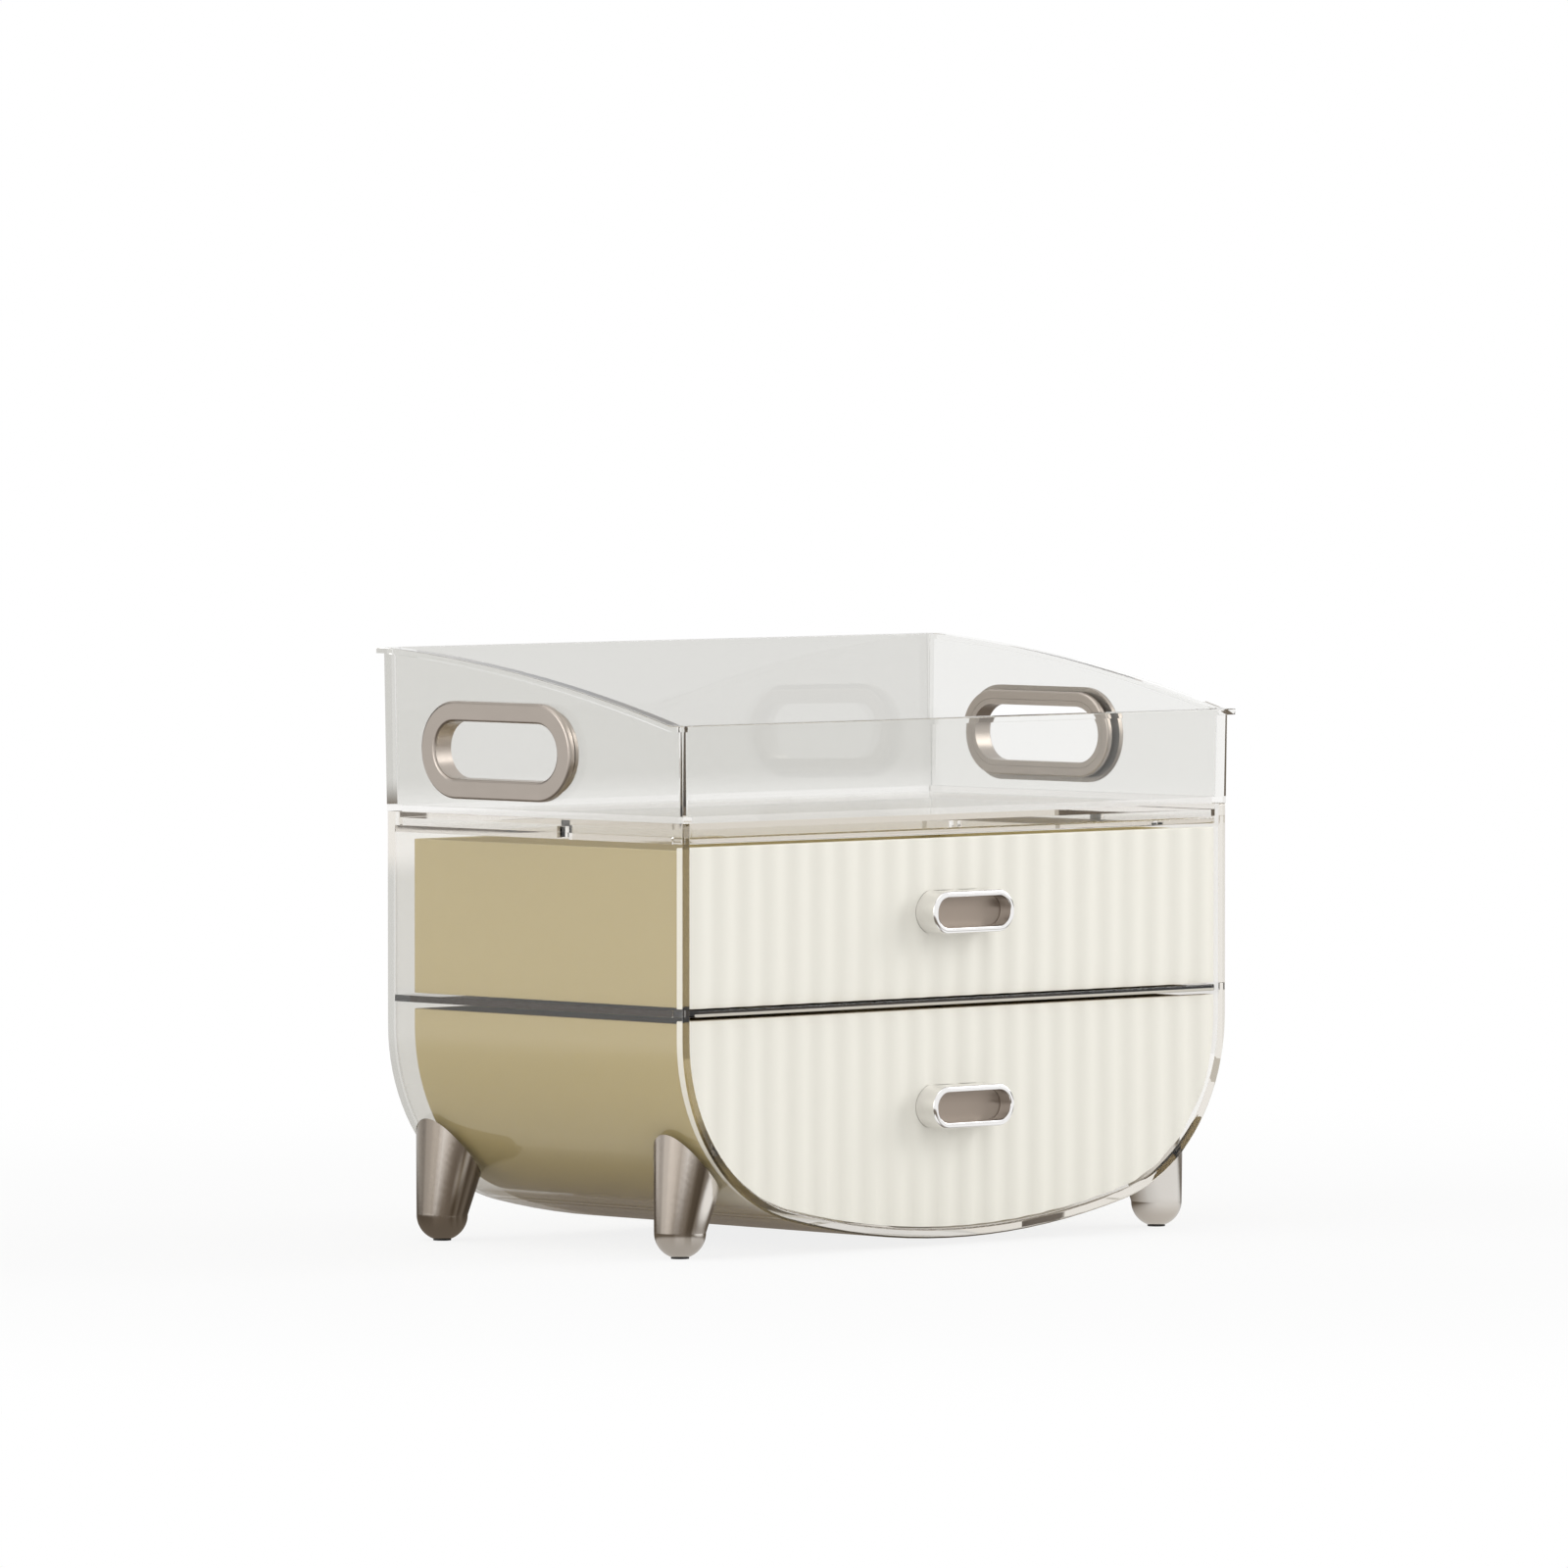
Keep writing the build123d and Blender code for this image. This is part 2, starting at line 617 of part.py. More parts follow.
def pull_screws(name, pull_z):
    """Two pan-head screws from inside the drawer into the pull's bosses."""
    seat_y = front_back_y + box_wall
    with BuildPart() as screws:
        with BuildSketch(upright(seat_y)):
            with Locations(*screw_places(pull_z)):
                Circle(pull_screw_head_radius)
        extrude(amount=-pull_screw_head_height)
        with BuildSketch(upright(seat_y)):
            with Locations(*screw_places(pull_z)):
                Circle(pull_screw_radius)
        extrude(amount=box_wall + front_thickness + pull_screw_bite)
        with BuildSketch(upright(seat_y + pull_screw_head_height)):
            with Locations(*screw_places(pull_z)):
                Rectangle(driver_width, driver_slot)
                Rectangle(driver_slot, driver_width)
        extrude(amount=driver_depth, mode=Mode.SUBTRACT)
    screws.part.label = name
    return screws.part


pieces = [outer_shell.part, top_deck.part, divider_shelf.part, top_tray.part]
pieces += [foot_pads.part, foot_screws.part]
for side in (-1, 1):
    pieces += [handle_ring(side), handle_bezel(side)]
for side, end in foot_places:
    pieces.append(foot(side, end))
pieces += [
    drawer_box(
        "upper_drawer_box",
        divider_top + run_gap,
        upper_box_bottom,
        upper_front_top - box_drop,
        upper_pull_z,
        upper_peg_rows,
        upper_runner_x,
    ),
    drawer_front(
        "upper_drawer_front",
        upper_front_bottom,
        upper_front_top,
        upper_pull_z,
        upper_peg_rows,
    ),
    drawer_pull("upper_pull", upper_pull_z),
    pull_screws("upper_pull_screws", upper_pull_z),
    drawer_box(
        "lower_drawer_box",
        0,
        0,
        lower_front_top - box_drop,
        lower_pull_z,
        lower_peg_rows,
        lower_runner_x,
    ),
    drawer_front("lower_drawer_front", 0, lower_front_top, lower_pull_z, lower_peg_rows),
    drawer_pull("lower_pull", lower_pull_z),
    pull_screws("lower_pull_screws", lower_pull_z),
]

os.makedirs("parts", exist_ok=True)
for piece in pieces:
    export_step(piece, f"parts/{piece.label}.step")
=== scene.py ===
"""Looks of a clear makeup organizer with two fluted drawers and an open tray.

The file is laid out as an add-on and run as a script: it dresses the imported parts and
sets the stage. Lengths are
in metres, with X along the front, Y from front to back and Z up from the table.
"""

from math import cos, pi, radians, sin, sqrt

import bpy
from bpy.props import FloatProperty, FloatVectorProperty, IntProperty, PointerProperty
from bpy.types import Operator, Panel, PropertyGroup
from bpy.utils import register_class, unregister_class
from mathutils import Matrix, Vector


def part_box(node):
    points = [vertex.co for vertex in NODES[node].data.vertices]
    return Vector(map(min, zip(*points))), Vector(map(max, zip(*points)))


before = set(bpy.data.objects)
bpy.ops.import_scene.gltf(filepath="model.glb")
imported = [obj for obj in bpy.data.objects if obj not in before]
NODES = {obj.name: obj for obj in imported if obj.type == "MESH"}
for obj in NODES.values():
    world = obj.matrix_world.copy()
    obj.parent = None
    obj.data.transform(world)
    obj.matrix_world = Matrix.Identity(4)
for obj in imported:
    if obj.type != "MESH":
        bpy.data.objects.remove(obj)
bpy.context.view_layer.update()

bl_info = {
    "name": "Makeup Organizer Looks",
    "version": (1, 0, 0),
    "blender": (4, 5, 0),
    "location": "View3D > Sidebar > Organizer",
    "description": "Dresses a clear makeup organizer and sets its stage",
    "category": "Object",
}

SHELL_LOW, SHELL_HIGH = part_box("outer_shell")

SIDES = ("left", "right")
ENDS = ("front", "back")
DRAWERS = ("upper", "lower")

# Places on the parts, for what a finish does only there

PULL_RECESS = 0.0062  # from a pull's rim to just before its floor
PULL_RIM = 0.0021  # from a pull's outside to just outside its recess
BACK_WALL = SHELL_HIGH.y - 0.0041  # the clear back walls lie behind this
BAND_MIDDLE = SHELL_HIGH.z - 0.0075  # the back wall's painted shade leaves out a band behind the deck
BAND_HALF = 0.0072  # up and down from its middle by this
BAND_FADE = 0.014  # and the painted shade comes in over this
INNER_FACE = SHELL_HIGH.x - 0.0045  # the upright inner faces of the shell lie outside this
OUTER_FACE = SHELL_HIGH.x - 0.002  # and inside this
CLIP_HEIGHT = (SHELL_HIGH.z - 0.0075, SHELL_HIGH.z - 0.0005)  # the clips lie between these
CLIP_INNER_FACE = SHELL_HIGH.x - 0.007  # and outside this
CLIP_MIDDLE = (SHELL_LOW.y + SHELL_HIGH.y) / 2 - 0.0164  # from front to back
CLIP_HALF = 0.0026
PALE_SHARE = 0.4  # share of the height of the divider's front edge that its painted highlight line takes
EDGE_DEPTH = 0.0004  # the divider's edge faces lie this near its box
TRAY_FLOOR = SHELL_HIGH.z + 0.0027  # top of the tray's floor
LINE_END = SHELL_LOW.y + 0.01717  # the dark line in the tray's right wall comes from before this
PAD_RADIUS = 0.0036
FOOT_RADIUS = 0.0103
FOOT_SPREAD = 0.167  # how much wider a foot gets with height
FOOT_LEAN = 1.3  # its axis leans inwards by so many times that
FOOT_TIP_TOP = (0.004, 0.013)  # heights between which a foot's painted dark tip reflection turns to its painted reflection stripes

# Finishes and stage

MIX_COLOUR_INPUTS = (0, 6, 7)  # factor and both colours among a Mix node's sockets
MIX_COLOUR_OUTPUT = 2
CLEAR_IOR = 1.49
MOULDED_IOR = 1.5
WAVES = (18.0, 1.0)  # scale and detail of the noise, and its stretch in two of the next four
SMUDGES = (70.0, 3.0)
SMEARS = (60.0, 2.0)
FLOW_MARKS = (9.0, 3.0, (1.0, 1.0, 0.35))
FOOT_LINES = (500.0, 2.0, (1.0, 1.0, 0.1))
SMUDGE_ROUGHNESS = 0.012
WAVE_BUMP = (0.00012, 0.35)  # height and strength, as in the next two
SPECKLE_BUMP = (0.00006, 0.3)
LINE_BUMP = (0.00003, 0.25)
FLOW_SHADE = 0.965  # share of the colour that is left in the darkest flow marks
FLOW_ROUGHNESS = 0.1  # how much the flow marks change it
METAL_SHADE = 0.9  # the same for the darkest smears on the rings and screws
LINE_ROUGHNESS = 0.4  # share of a metal's roughness that its grain changes
CHROME_SHADE = 0.94  # and on the pulls
CHROME_ROUGHNESS = 0.05
CHROME_SMEARS = 0.03  # how much the smears add to it
RECESS_ROUGHNESS = 0.4  # how much a pull's recess adds to it
PAD_BLACK = (0.05, 0.048, 0.045)
SCREW_GREY = (0.5, 0.5, 0.51)
FOOT_SMEARS = 0.15  # share of the dull colour in a foot's smears
FOOT_GRAIN = 0.06  # how much the grain adds to a foot's roughness
FLOOR_SIZE = 60.0
FRONT_BAND = 0.012  # the painted shadow on the floor under the shell begins so far behind its front
BACK_BAND = 0.05  # it ends so far behind its back
COVER_FADE = 0.03  # and fades over this
FLOOR_CARDS = (  # middle, size and whiteness of painted highlights: white cards in the floor's painted shadow that only the gloss sees
    ((0.16, -0.19, 0.0), 0.1, 1.0),
    ((-0.06, -0.13, 0.0), 0.03, 1.0),
)
FOOT_CARD = (0.027, 0.6)  # size and whiteness of one under the tip of the front left foot, a painted highlight in its reflection
BEHIND = (-0.05, 0.3)  # sines of the angles between which the sky's dark cards begin, as below
BESIDE = (0.1, 0.3)
ABOVE = (0.25, 0.75)
LAMPS = (  # name, place and size
    ("key", (2.6, -1.3, 1.3), 1.6),
    ("side", (-2.8, 0.4, 1.0), 1.6),
    ("top", (-0.3, 0.2, 2.4), 1.8),
)
LAMP_AIM = (0.0, 0.0, 0.1)
SENSOR_WIDTH = 36.0
CLIP_END = 100.0
RIGHT_REFLECTION_STREAKS = (  # painted reflections on the right feet: places from a foot's left edge to its right one, with their colours
    (0.0, (0.35, 0.29, 0.22)),
    (0.2, (0.55, 0.51, 0.46)),
    (0.35, (0.66, 0.63, 0.59)),
    (0.9, (0.69, 0.66, 0.62)),
    (1.0, (0.55, 0.53, 0.5)),
)
# painted reflections of the studio on each foot, as upright stripes from its left edge to its right
# one, lined up with the camera
REFLECTION_STREAKS = {
    "front_left": (
        (0.0, (0.25, 0.21, 0.17)),
        (0.06, (0.5, 0.44, 0.38)),
        (0.25, (0.5, 0.44, 0.38)),
        (0.36, (0.44, 0.38, 0.32)),
        (0.45, (0.72, 0.66, 0.6)),
        (0.56, (0.66, 0.6, 0.53)),
        (0.62, (0.36, 0.31, 0.25)),
        (0.7, (0.28, 0.24, 0.19)),
        (0.74, (0.8, 0.76, 0.71)),
        (0.93, (0.76, 0.72, 0.67)),
        (1.0, (0.3, 0.26, 0.21)),
    ),
    "back_left": (
        (0.0, (0.2, 0.17, 0.13)),
        (0.09, (0.27, 0.23, 0.19)),
        (0.3, (0.36, 0.31, 0.26)),
        (0.37, (0.66, 0.6, 0.54)),
        (0.49, (0.58, 0.51, 0.44)),
        (0.62, (0.5, 0.44, 0.38)),
        (0.69, (0.24, 0.19, 0.13)),
        (0.76, (0.6, 0.55, 0.49)),
        (0.8, (0.25, 0.21, 0.16)),
        (0.87, (0.6, 0.56, 0.51)),
        (0.92, (0.2, 0.17, 0.13)),
        (1.0, (0.13, 0.11, 0.09)),
    ),
    "front_right": RIGHT_REFLECTION_STREAKS,
    "back_right": RIGHT_REFLECTION_STREAKS,
}


# Shader sums


class Value:
    """A shader socket that takes part in Python sums."""

    def __init__(self, finish, socket):
        self.finish = finish
        self.socket = socket

    def math(self, operation, *terms, clamp=False):
        """The result of a Math node on these terms."""
        settings = {"operation": operation, "use_clamp": clamp}
        return self.finish.node("ShaderNodeMath", settings, dict(enumerate(terms)))

    def __add__(self, other):
        return self.math("ADD", self, other)

    __radd__ = __add__

    def __sub__(self, other):
        return self.math("SUBTRACT", self, other)

    def __rsub__(self, other):
        return self.math("SUBTRACT", other, self)

    def __mul__(self, other):
        return self.math("MULTIPLY", self, other)

    __rmul__ = __mul__

    def __truediv__(self, other):
        return self.math("DIVIDE", self, other)

    def __gt__(self, other):
        return self.math("GREATER_THAN", self, other)

    def __lt__(self, other):
        return self.math("LESS_THAN", self, other)

    def clamped(self):
        """The value kept between 0 and 1."""
        return self.math("ADD", self, 0.0, clamp=True)

    def size(self):
        """The value without its sign."""
        return self.math("ABSOLUTE", self)

    def at_least(self, other):
        """The larger of the value and another."""
        return self.math("MAXIMUM", self, other)

    def rise(self, low, high):
        """Goes smoothly from 0 to 1 as the value goes from low to high."""
        settings = {"interpolation_type": "SMOOTHSTEP"}
        inputs = {"Value": self, "From Min": low, "From Max": high}
        return self.finish.node("ShaderNodeMapRange", settings, inputs)


class Finish:
    """A node tree for a surface, made one node at a time."""

    def __init__(self, owner):
        owner.use_nodes = True
        self.tree = owner.node_tree
        self.tree.nodes.clear()

    def node(self, kind, settings=None, inputs=None, output=0):
        """Adds a node, with its settings first and then the values or links of its sockets."""
        made = self.tree.nodes.new(kind)
        for name, setting in (settings or {}).items():
            setattr(made, name, setting)
        for name, given in (inputs or {}).items():
            if isinstance(given, Value):
                self.tree.links.new(given.socket, made.inputs[name])
            else:
                made.inputs[name].default_value = given
        return Value(self, made.outputs[output])

    def ramp(self, factor, stops):
        """A colour ramp through stops of place and colour."""
        ramp = self.node("ShaderNodeValToRGB", None, {"Fac": factor})
        elements = ramp.socket.node.color_ramp.elements
        while len(elements) < len(stops):
            elements.new(0.5)
        for element, (place, colour) in zip(elements, stops):
            element.position = place
            element.color = (*colour, 1.0)
        return ramp

    def mix(self, factor, first, second):
        """A colour between two colours."""
        inputs = dict(zip(MIX_COLOUR_INPUTS, (factor, first, second)))
        return self.node("ShaderNodeMix", {"data_type": "RGBA"}, inputs, MIX_COLOUR_OUTPUT)

    def place(self):
        """Object coordinates of the surface."""
        return self.node("ShaderNodeTexCoord", None, None, "Object")

    def coordinates(self):
        """The three Object coordinates, in metres."""
        place = self.node("ShaderNodeSeparateXYZ", None, {"Vector": self.place()})
        return [Value(self, socket) for socket in place.socket.node.outputs]

    def toward(self, direction):
        """How far the direction of a sky ray goes along a level direction."""
        ray = self.node("ShaderNodeTexCoord", None, None, "Generated")
        inputs = {0: ray, 1: direction}
        return self.node("ShaderNodeVectorMath", {"operation": "DOT_PRODUCT"}, inputs, "Value")

    def ray(self, kind):
        """What the light path says about the ray that is being followed."""
        return self.node("ShaderNodeLightPath", None, None, kind)

    def mirrored(self):
        """1 for a ray off something glossy, 0 for a ray that has passed through it."""
        return self.ray("Is Glossy Ray") * (1.0 - self.ray("Is Transmission Ray"))

    def way_out(self, colour):
        """Lets light straight through, with a tint."""
        inputs = {"Color": opaque(colour), "Roughness": 0.0, "IOR": 1.0}
        return self.node("ShaderNodeBsdfRefraction", None, inputs)

    def matt(self, colour):
        """A matt shader."""
        return self.node("ShaderNodeBsdfDiffuse", None, {"Color": opaque(colour)})

    def blend(self, factor, first, second):
        """A shader between two shaders."""
        return self.node("ShaderNodeMixShader", None, {0: factor, 1: first, 2: second})

    def noise(self, scale, detail=2.0, stretch=(1.0, 1.0, 1.0)):
        """Noise on Object coordinates, stretched along the axes."""
        place = self.node("ShaderNodeMapping", None, {"Vector": self.place(), "Scale": stretch})
        inputs = {"Vector": place, "Scale": scale, "Detail": detail}
        return self.node("ShaderNodeTexNoise", None, inputs, 0)

    def bump(self, height, distance, strength=1.0):
        """A normal bent by a height."""
        inputs = {"Height": height, "Distance": distance, "Strength": strength}
        return self.node("ShaderNodeBump", None, inputs)

    def surface(self, shader, volume=None, kind="ShaderNodeOutputMaterial"):
        """Links a shader, and a volume if there is one, to the output."""
        made = self.tree.nodes.new(kind)
        self.tree.links.new(shader.socket, made.inputs["Surface"])
        if volume:
            self.tree.links.new(volume.socket, made.inputs["Volume"])


def new_material(name):
    """An empty material and the finish that fills it."""
    material = bpy.data.materials.new(name)
    return material, Finish(material)


def opaque(colour):
    """A colour with full alpha."""
    return (*colour, 1.0)


# Sizes and colours


class OrganizerPlastics(PropertyGroup):
    """Colours of the moulded pieces."""

    clear_tint: FloatVectorProperty(
        name="Clear tint",
        description="Colour that the clear plastic keeps as light passes a wall",
        subtype="COLOR",
        default=(0.94, 0.93, 0.91),
    )
    tray_tint: FloatVectorProperty(
        name="Tray tint",
        description="Colour that the tray keeps as light passes a wall",
        subtype="COLOR",
        default=(0.89, 0.888, 0.872),
    )
    # painted shade on the back walls, for the darker room seen through them
    back_shade_tint: FloatVectorProperty(
        name="Back tint",
        description="Colour that the clear plastic keeps in the back walls",
        subtype="COLOR",
        default=(0.72, 0.715, 0.69),
    )
    open_tint: FloatVectorProperty(
        name="Open tint",
        description="Colour of light between walls that is let through after some reflections",
        subtype="COLOR",
        default=(0.95, 0.945, 0.935),
    )
    # painted shade on the shell's outer face at the right
    right_edge_shade: FloatVectorProperty(
        name="Edge tint",
        description="Colour that the shell keeps as light passes its outer face at the right",
        subtype="COLOR",
        default=(0.78, 0.765, 0.74),
    )
    # painted shade: the tray's clips are drawn near black for the dark windows where light is caught
    # in them
    clip: FloatVectorProperty(
        name="Clip",
        description="Colour of the tray's clips",
        subtype="COLOR",
        default=(0.01, 0.01, 0.01),
    )
    clear_depth: FloatVectorProperty(
        name="Clear depth",
        description="Colour that light turns to on a long way through the clear plastic",
        subtype="COLOR",
        default=(0.62, 0.56, 0.48),
    )
    clear_density: FloatProperty(
        name="Clear density",
        description="How fast the clear plastic takes light, for each metre",
        default=2.2,
        min=0.0,
    )
    deck_tint: FloatVectorProperty(
        name="Deck tint",
        description="Colour of light that passes or leaves the deck and the foot of the tray",
        subtype="COLOR",
        default=(0.98, 0.976, 0.968),
    )
    # painted shade: the divider is drawn dark brown by this tint and its dense absorption, for the
    # shade between the drawers
    divider_shade_tint: FloatVectorProperty(
        name="Divider tint",
        description="Colour that light keeps as it passes a face of the divider",
        subtype="COLOR",
        default=(0.42, 0.34, 0.24),
    )
    divider_density: FloatProperty(
        name="Divider density",
        description="How fast the divider takes light, for each metre",
        default=24.0,
        min=0.0,
    )
    # painted highlight along the middle of the divider's front edge
    pale_line_highlight: FloatVectorProperty(
        name="Pale line",
        description="Colour of the line along the middle of the divider's front edge",
        subtype="COLOR",
        default=(0.6, 0.57, 0.5),
    )
    # painted shade on the divider's side edges along the drawers
    dark_side_shade: FloatVectorProperty(
        name="Dark side",
        description="Colour of the divider's side edges along the drawers",
        subtype="COLOR",
        default=(0.03, 0.02, 0.011),
    )
    light_escape: FloatVectorProperty(
        name="Light escape",
        description="Colour of caught light that leaves the shell and the deck",
        subtype="COLOR",
        default=(0.85, 0.82, 0.77),
    )
    inner_escape: FloatVectorProperty(
        name="Inner escape",
        description="Colour of caught light that leaves the shell by its upright inner faces",
        subtype="COLOR",
        default=(0.52, 0.48, 0.41),
    )
    dark_escape: FloatVectorProperty(
        name="Dark escape",
        description="Colour of caught light that leaves the tray's walls and the divider",
        subtype="COLOR",
        default=(0.13, 0.098, 0.063),
    )
    guided_steps: IntProperty(
        name="Guided steps",
        description="Reflections after which light that is caught in a wall is let out of it",
        default=2,
        min=1,
    )
    clear_roughness: FloatProperty(
        name="Clear roughness",
        description="Roughness of the polished walls",
        default=0.02,
        min=0.0,
        max=1.0,
    )
    cream: FloatVectorProperty(
        name="Cream",
        description="Colour of the fluted fronts",
        subtype="COLOR",
        default=(0.89, 0.866, 0.78),
    )
    # the drawer boxes' colour: partly their own tan, partly painted shade of the boxes seen in shadow
    # through the shell
    tan: FloatVectorProperty(
        name="Tan",
        description="Colour of the drawer boxes",
        subtype="COLOR",
        default=(0.49, 0.402, 0.196),
    )


class OrganizerMetals(PropertyGroup):
    """Colours of the plated pieces."""

    nickel: FloatVectorProperty(
        name="Satin nickel",
        description="Colour of the carrying rings",
        subtype="COLOR",
        default=(0.49, 0.435, 0.385),
    )
    # the painted reflection stripes on the feet are turned by this to face the camera
    foot_turn: FloatProperty(
        name="Foot turn",
        description="Turn of the feet's streaks round an upright axis, from the front to the left",
        subtype="ANGLE",
        default=radians(43.43),
    )
    foot_roughness: FloatProperty(
        name="Foot roughness",
        description="Roughness of the polished feet where they shine most",
        default=0.13,
        min=0.0,
        max=1.0,
    )
    foot_dark: FloatVectorProperty(
        name="Foot dark",
        description="Colour that the feet turn to in their dull spots",
        subtype="COLOR",
        default=(0.6, 0.54, 0.48),
    )
    # painted reflection of the shaded floor on the feet's round tips
    foot_tip_reflection: FloatVectorProperty(
        name="Foot tip",
        description="Colour of the feet's round tips",
        subtype="COLOR",
        default=(0.52, 0.475, 0.42),
    )
    chrome: FloatVectorProperty(
        name="Chrome",
        description="Colour of the pulls",
        subtype="COLOR",
        default=(0.9, 0.89, 0.88),
    )
    # satin floor of each pull's recess, painted darker grey-brown: partly its own satin finish,
    # partly painted shade in the recess
    recess: FloatVectorProperty(
        name="Pull recess",
        description="Colour of the satin floor inside each pull",
        subtype="COLOR",
        default=(0.38, 0.32, 0.27),
    )


class OrganizerStage(PropertyGroup):
    """Camera and light."""

    turn: FloatProperty(
        name="Turn",
        description="Angle of the camera round the organizer, to the left of the front",
        subtype="ANGLE",
        default=radians(43.43),
    )
    tilt: FloatProperty(
        name="Tilt",
        description="Angle by which the camera looks down",
        subtype="ANGLE",
        default=radians(2.21),
    )
    distance: FloatProperty(
        name="Distance",
        description="Level distance of the camera",
        subtype="DISTANCE",
        default=5.534,
    )
    height: FloatProperty(
        name="Height",
        description="Height of the camera above the table",
        subtype="DISTANCE",
        default=0.3954,
    )
    aside: FloatProperty(
        name="Aside",
        description="How far the camera stands to its right",
        subtype="DISTANCE",
        default=-0.0103,
    )
    lens: FloatProperty(
        name="Lens",
        description="Focal length in millimetres",
        subtype="DISTANCE_CAMERA",
        default=315.0,
    )
    floor_tone: FloatProperty(
        name="Floor tone",
        description="How white the floor is",
        default=0.72,
        min=0.0,
        max=1.0,
    )
    # painted shadow on the floor near the object, seen only in reflections
    floor_gloss_shadow: FloatVectorProperty(
        name="Floor gloss",
        description="Colour of the floor near the object where something glossy mirrors it",
        subtype="COLOR",
        default=(0.2, 0.17, 0.14),
    )
    # painted shadow on the floor under the organizer, seen through its clear walls
    floor_under_shadow: FloatVectorProperty(
        name="Floor under",
        description="Colour of the floor under the organizer, seen through it",
        subtype="COLOR",
        default=(0.25, 0.21, 0.16),
    )
    # the painted shadow seen in reflections reaches this far and fades out by gloss_far
    gloss_near: FloatProperty(
        name="Gloss near",
        description="Distance from the middle up to which a mirrored floor has its gloss colour",
        subtype="DISTANCE",
        default=0.3,
    )
    gloss_far: FloatProperty(
        name="Gloss far",
        description="Distance from the middle at which a mirrored floor is all white",
        subtype="DISTANCE",
        default=0.9,
    )
    floor_shade: FloatProperty(
        name="Floor shade",
        description="How much of the object's shadow the floor shows",
        default=0.16,
        min=0.0,
        max=1.0,
    )
    floor_near: FloatProperty(
        name="Floor near",
        description="Distance from the middle up to which the floor shows its shade",
        subtype="DISTANCE",
        default=0.3,
    )
    floor_far: FloatProperty(
        name="Floor far",
        description="Distance from the middle at which the floor is all white",
        subtype="DISTANCE",
        default=0.9,
    )
    sky: FloatProperty(
        name="Sky",
        description="Strength of the even light from all round",
        default=0.86,
        min=0.0,
    )
    cards: FloatProperty(
        name="Cards",
        description="How dark the cards are that the gloss sees on both sides behind",
        default=0.85,
        min=0.0,
        max=1.0,
    )
    key: FloatProperty(
        name="Key",
        description="Power of the large lamp at the front right, in watts",
        default=30.0,
        min=0.0,
    )
    side: FloatProperty(
        name="Side",
        description="Power of the lamp at the left, in watts",
        default=20.0,
        min=0.0,
    )
    top: FloatProperty(
        name="Top",
        description="Power of the lamp above, in watts",
        default=8.0,
        min=0.0,
    )


# Finishes


def clip_place(x, y, z):
    """1 on the tray's clips, 0 elsewhere."""
    bottom, top = CLIP_HEIGHT
    near = (y - CLIP_MIDDLE).size() < CLIP_HALF
    return (x.size() > CLIP_INNER_FACE) * near * (z > bottom) * (z < top)


def plate_edges(finish, walls, looks, low, high):
    """Gives a plate between two corners a painted highlight line along its front edge and painted
    shade on its side edges.
    """
    x, y, z = finish.coordinates()
    middle = (z - (low.z + high.z) / 2).size() < PALE_SHARE * (high.z - low.z) / 2
    front = y < low.y + EDGE_DEPTH
    # painted highlight line along the front edge, then painted shade on the side edges
    walls = finish.blend(middle * front, walls, finish.matt(looks.pale_line_highlight))
    side = (x.size() > high.x - EDGE_DEPTH) * (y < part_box("upper_drawer_box")[1].y)
    return finish.blend(side, walls, finish.matt(looks.dark_side_shade))


